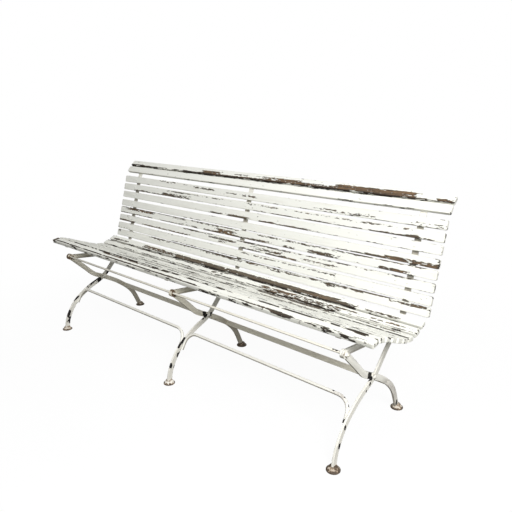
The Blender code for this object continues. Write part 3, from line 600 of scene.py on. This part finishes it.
def weathered_slat(node, number):
    """A copy of the master slat in a CAD slat's place, with its own bend and its own loss of paint."""
    chance = np.random.default_rng(number)
    slat = master_slat.copy()
    slat.data = master_slat.data.copy()
    slat.name = slat.data.name = "weathered_" + node
    bpy.context.scene.collection.objects.link(slat)
    points = np.empty(len(slat.data.vertices) * 3)
    slat.data.vertices.foreach_get("co", points)
    points = points.reshape(-1, 3)
    x, y, z = points.T
    across = 2 * y / slat_width
    body = frame["nodes"][node]["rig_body"]
    # Near its edges and ends a slat's paint turns greyer, from dirt and from painted shade on the rounded
    # edges
    inset = np.minimum((slat_width / 2 - abs(y)) / EDGE_REACH, (slat_length / 2 - abs(x)) / END_REACH)
    dirt_and_edge_shade = np.clip(1 - inset, 0, 1)
    base, patches, cracks = SLAT_WEAR[node]
    wear = base + EDGE_LOSS[body] * dirt_and_edge_shade
    for spots, blackness in ((patches, 0), (cracks, 1)):
        for start, end, low, high, loss in spots:
            # A patch that reaches an edge of the slat runs on over it
            low = -2 if low <= -1 else low
            high = 2 if high >= 1 else high
            soft = min(WEAR_END, 0.5 * (end - start))
            spread = fade(x, start, end, soft) * fade(across, low, high, WEAR_SIDE)
            wear = np.maximum(wear, loss * spread)
            dirt_and_edge_shade = np.maximum(dirt_and_edge_shade, blackness * spread)
    wear[z < BACK_FROM * slat_thick] = base + BACK_LOSS
    warmth = np.full(len(x), float(node == BROWN_SLAT))
    for name, values in (("wear", wear), ("dirt_and_edge_shade", dirt_and_edge_shade), ("warmth", warmth)):
        slat.data.attributes.new(name, "FLOAT", "POINT").data.foreach_set("value", values)
    grain_shift = chance.uniform(-GRAIN_SHIFT, GRAIN_SHIFT, 3)
    grain = slat.data.attributes.new("board", "FLOAT_VECTOR", "POINT")
    grain.data.foreach_set("vector", (points + grain_shift).ravel())
    bare_wood = np.clip((wear - BARE_FROM) / (1 - BARE_FROM), 0, 1)
    points[:, 2] -= PAINT_THICK * np.where(z > FACE_FROM * slat_thick, bare_wood, 0)
    round_corners(points)
    points[:, 1] += bow(x, chance.uniform(0, MOST_BOW, 4))
    points[:, 2] += bow(x, chance.uniform(0, MOST_BOW, 4))
    slat.data.vertices.foreach_set("co", points.ravel())
    middle, direction, face = board_axes(node)
    slat.location = middle - direction * SLAT_SLIP.get(node, 0)
    slat.rotation_euler = (atan2(direction.z, direction.y), 0, 0)
    only(slat)
    bpy.ops.object.transform_apply(location=True, rotation=True)
    slat.data.materials.append(peeling_paint)
    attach(slat, body)
    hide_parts(node)


WHITE_PAINT = (0.865, 0.868, 0.81, 1)
OLD_PAINT = (0.68, 0.665, 0.58, 1)
CRACK_DIRT = (0.024, 0.019, 0.014, 1)
DARK_WOOD = (0.060, 0.041, 0.027, 1)
WARM_WOOD = (0.225, 0.137, 0.070, 1)
GREY_WOOD = (0.160, 0.131, 0.090, 1)

# How much streaks, flakes and the dashes in cracks add to the wear
STREAK_LOSS = 1.6
FLAKE_LOSS = 2.2
DASH_LOSS = 3.2
# How much loss bares the wood, how much leaves it clean, and how much dirties the paint beside it
WOOD_SHOWS = (0.60, 0.65)
CLEAN_WOOD = (0.64, 0.95)
FLAKED_RIM = (0.40, 0.60)
PAINT_BUMP = 0.0006

peeling = Finish("peeling_white_paint")
board = peeling.attribute("board", "Vector")
wear = peeling.attribute("wear")
dirt_and_edge_shade = peeling.attribute("dirt_and_edge_shade")
warmth = peeling.attribute("warmth")
streaks = peeling.noise(board, (12, 120, 120))
flakes = peeling.noise(board, (55, 200, 200), 3)
dashes = peeling.noise(board, (15, 60, 60), 3, 0.55)
streaked = (streaks - 0.5) * STREAK_LOSS
flaked = (flakes - 0.5) * (1 - dirt_and_edge_shade * 0.5) * FLAKE_LOSS
cracked = (dashes - 0.5) * dirt_and_edge_shade * DASH_LOSS
loss = wear + streaked + flaked + cracked
bare = peeling.ramp(loss, *WOOD_SHOWS)
clean = peeling.ramp(loss, *CLEAN_WOOD) * (1 - dirt_and_edge_shade * 0.85)
grain = peeling.noise(board, (10, 420, 420), 3, 0.65)
greyed = peeling.ramp(peeling.noise(board, (3, 12, 12), 2, 0.5), 0.35, 0.55) * (1 - warmth)
pale_wood = peeling.mix(greyed, WARM_WOOD, GREY_WOOD)
wood = peeling.mix(peeling.ramp(grain, 0.36, 0.64), DARK_WOOD, pale_wood)
wood = peeling.mix(clean, CRACK_DIRT, wood)
clouds = peeling.ramp(peeling.noise(board, (4, 40, 40)), 0.45, 0.8)
rim_dirt = peeling.ramp(loss, *FLAKED_RIM)
# Random clouds, dirt round the flakes, and dirt with painted edge shade grey the paint
paint = peeling.mix(clouds * 0.35 + rim_dirt * 0.25 + dirt_and_edge_shade * 0.30, WHITE_PAINT, OLD_PAINT)
relief = streaks * 0.15 + grain * bare * 0.3 - bare
peeling.cover(peeling.mix(bare, paint, wood), 0.62 + bare * 0.25, relief, PAINT_BUMP)
peeling_paint = peeling.material

for number, node in enumerate(slat_nodes):
    weathered_slat(node, number)
bpy.data.objects.remove(master_slat, do_unlink=True)


# Bolts hold the slats to the irons, with low round heads on the slats' faces and square nuts behind.
# They are steel, painted over with the wood in front and with the iron at the back.

BOLT_HEAD_RADIUS = 0.0055
BOLT_HEAD_HEIGHT = 0.0012
NUT_WIDTH = 0.0095
NUT_HEIGHT = 0.0045
NUT_CORNER = 0.0008
BOLT_RADIUS = 0.0026
BOLT_TIP = 0.0015
SEATING = 0.0004
HEAD_SIDES = 16
TIP_SIDES = 10
NUT_SIDES = 4
TURN_SEED = 5
IRON_THICK = {"back_frame": 0.0083, "seat": 0.0063}


def bolt_piece(sides, radius, low, high):
    """A prism on the Z axis, from low to high, as a start for a head, a nut or a bolt's end."""
    bpy.ops.object.select_all(action="DESELECT")
    bpy.ops.mesh.primitive_cylinder_add(vertices=sides, radius=radius, depth=high - low,
                                        location=(0, 0, (low + high) / 2))
    bpy.ops.object.transform_apply(location=True)
    return bpy.context.object


def round_end(piece, end, offset, segments):
    """Bevel the rim of the end face of a prism that looks along Z if end is 1, or back if it is -1."""
    only(piece)
    bpy.ops.object.mode_set(mode="EDIT")
    bpy.ops.mesh.select_mode(type="FACE")
    bpy.ops.mesh.select_all(action="DESELECT")
    bpy.ops.object.mode_set(mode="OBJECT")
    for facet in piece.data.polygons:
        facet.select = facet.normal.z * end > 0.9
    bpy.ops.object.mode_set(mode="EDIT")
    bpy.ops.mesh.bevel(offset=offset, segments=segments)
    bpy.ops.object.mode_set(mode="OBJECT")


master_head = bolt_piece(HEAD_SIDES, BOLT_HEAD_RADIUS, -SEATING, BOLT_HEAD_HEIGHT)
round_end(master_head, 1, 0.9 * BOLT_HEAD_HEIGHT, 3)
bpy.ops.object.shade_smooth_by_angle(angle=ROUND_ANGLE)
bolt_tip = bolt_piece(TIP_SIDES, BOLT_RADIUS, -NUT_HEIGHT - BOLT_TIP, SEATING - NUT_HEIGHT)
round_end(bolt_tip, -1, 0.4 * BOLT_TIP, 2)
master_nut = bolt_piece(NUT_SIDES, NUT_WIDTH / sqrt(2), -NUT_HEIGHT, SEATING)
round_end(master_nut, -1, NUT_CORNER, 2)
bolt_tip.select_set(True)
bpy.ops.object.join()
bpy.ops.object.shade_smooth_by_angle(angle=FLAT_ANGLE)


def set_bolts(master, name, places, material, body):
    """Join copies of a head or nut, one at each place, which is a point, a face direction and a turn."""
    bpy.ops.object.select_all(action="DESELECT")
    for point, face, turn in places:
        bolt = master.copy()
        bolt.data = master.data.copy()
        bpy.context.scene.collection.objects.link(bolt)
        tilt = Matrix.Rotation(atan2(-face.y, face.z), 4, "X")
        bolt.matrix_world = Matrix.Translation(point) @ tilt @ Matrix.Rotation(turn, 4, "Z")
        bolt.select_set(True)
        bpy.context.view_layer.objects.active = bolt
    bpy.ops.object.transform_apply(location=True, rotation=True)
    bpy.ops.object.join()
    bolts = bpy.context.object
    bolts.name = bolts.data.name = name
    bolts.data.materials.append(material)
    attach(bolts, body)


head_paint = iron_paint("white_paint_on_bolt_heads", WHITE_PAINT, rusty=0.1)
strap_places = sorted(sum(corner.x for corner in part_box(node)) / 2 for node in nodes_named("seat_strap"))
packing_low, packing_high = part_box("seat_packing_left")
turns = np.random.default_rng(TURN_SEED)
for body, label, across_places in (("back_frame", "back", frame_places), ("seat", "seat", strap_places)):
    heads = []
    nuts = []
    for node in nodes_named(label + "_slat"):
        middle, direction, face = board_axes(node)
        on_packing = body == "seat" and packing_low.y - NUT_WIDTH < middle.y < packing_high.y + NUT_WIDTH
        for x in across_places:
            point = Vector((x, middle.y, middle.z)) - direction * SLAT_SLIP.get(node, 0)
            turn = turns.uniform(0, pi)
            heads.append((point + face * slat_thick / 2, face, turn))
            if not on_packing:
                nuts.append((point - face * (slat_thick / 2 + IRON_THICK[body]), face, turn))
    set_bolts(master_head, label + "_bolt_heads", heads, head_paint, body)
    set_bolts(master_nut, label + "_bolt_nuts", nuts, stretcher_paint, body)
for master in (master_head, master_nut):
    bpy.data.objects.remove(master, do_unlink=True)


# The camera stands at a standing height before the right-hand end, as in the photograph.
# Its lens takes in the photograph's square frame.

CAMERA_PLACE = Vector((1.670, -1.588, 1.218))
CAMERA_TURN = radians(41.28)
CAMERA_DOWN = radians(16.56)
CAMERA_ROLL = radians(-0.32)
SENSOR_WIDTH = 36
LENS_LENGTH = 35.65

camera = bpy.data.objects.new("camera", bpy.data.cameras.new("camera"))
bpy.context.scene.collection.objects.link(camera)
camera.data.sensor_width = SENSOR_WIDTH
camera.data.lens = LENS_LENGTH
aim = Euler((pi / 2 - CAMERA_DOWN, 0, CAMERA_TURN)).to_matrix().to_4x4()
camera.matrix_world = Matrix.Translation(CAMERA_PLACE) @ aim @ Matrix.Rotation(CAMERA_ROLL, 4, "Z")
bpy.context.scene.camera = camera


# The floor is a studio floor that runs out to pure white all round.
# To the camera it is nearly white by itself, so only a faint shadow lies under the bench.

FLOOR_REACH = 30.0
FLOOR_BOUNCE = (0.20, 0.20, 0.19, 1)
FLOOR_WHITE = (0.95, 0.95, 0.95, 1)
SHADE_SHARE = 0.06
SHADE_REACH = (0.9, 2.2)

bpy.ops.object.select_all(action="DESELECT")
bpy.ops.mesh.primitive_plane_add(size=2 * FLOOR_REACH)
floor = bpy.context.object
floor.name = "studio_floor"
pale = Finish("pale_floor")
seen = pale.add("LightPath", {}, {}, "Is Camera Ray")
pale.put(pale.shader.inputs["Base Color"], pale.mix(seen, FLOOR_BOUNCE, FLOOR_WHITE))
pale.put(pale.shader.inputs["Roughness"], 0.9)
pale.put(pale.shader.inputs["Specular IOR Level"], 0.0)
glow = pale.add("Emission", {}, {"Color": (1, 1, 1, 1), "Strength": 1.0})
floor_place = pale.add("TexCoord", {}, {}, "Object")
floor_distance = pale.add("VectorMath", {"operation": "LENGTH"}, {0: floor_place}, "Value")
far = pale.ramp(floor_distance, *SHADE_REACH)
shade = Socket(pale, pale.shader.outputs[0])
both = pale.add("MixShader", {}, {0: seen * (1 - SHADE_SHARE + far * SHADE_SHARE), 1: shade, 2: glow})
pale.put(pale.nodes["Material Output"].inputs["Surface"], both)
floor.data.materials.append(pale.material)


# Soft daylight falls from the right, from above and a little from the front, with an even white sky round it.
# A low, weak light at the right reaches the ends of the slats, and one behind shows the back in other views.

SKY_LIGHT = 0.31


def soft_lamp(name, place, target, size, watts):
    """A square lamp of a size in metres, turned to a target."""
    lamp = bpy.data.objects.new(name, bpy.data.lights.new(name, "AREA"))
    lamp.data.size = size
    lamp.data.energy = watts
    lamp.location = place
    lamp.rotation_euler = (Vector(target) - Vector(place)).to_track_quat("-Z", "Y").to_euler()
    bpy.context.scene.collection.objects.link(lamp)


soft_lamp("window_light", (2.6, -1.8, 2.4), (0.1, 0.0, 0.5), 1.4, 114)
soft_lamp("front_fill", (-0.2, -3.5, 2.3), (-0.2, 0.0, 0.5), 2.5, 6)
soft_lamp("light_from_above", (0.1, -0.5, 3.4), (0.1, -0.1, 0.4), 2.5, 20)
soft_lamp("side_light", (3.2, -0.5, 1.0), (0.5, 0.0, 0.3), 1.0, 5)
soft_lamp("light_behind", (-0.4, 3.6, 1.5), (0.0, 0.3, 0.5), 2.5, 45)

world = bpy.data.worlds.new("white_sky")
bpy.context.scene.world = world
world.use_nodes = True
sky = world.node_tree.nodes["Background"]
sky.inputs["Color"].default_value = (1, 1, 1, 1)
sky_rays = world.node_tree.nodes.new("ShaderNodeLightPath")
strength = world.node_tree.nodes.new("ShaderNodeMapRange")
strength.inputs["To Min"].default_value = SKY_LIGHT
strength.inputs["To Max"].default_value = 1.0
world.node_tree.links.new(sky_rays.outputs["Is Camera Ray"], strength.inputs["Value"])
world.node_tree.links.new(strength.outputs[0], sky.inputs["Strength"])

bpy.context.scene.view_settings.view_transform = "Standard"
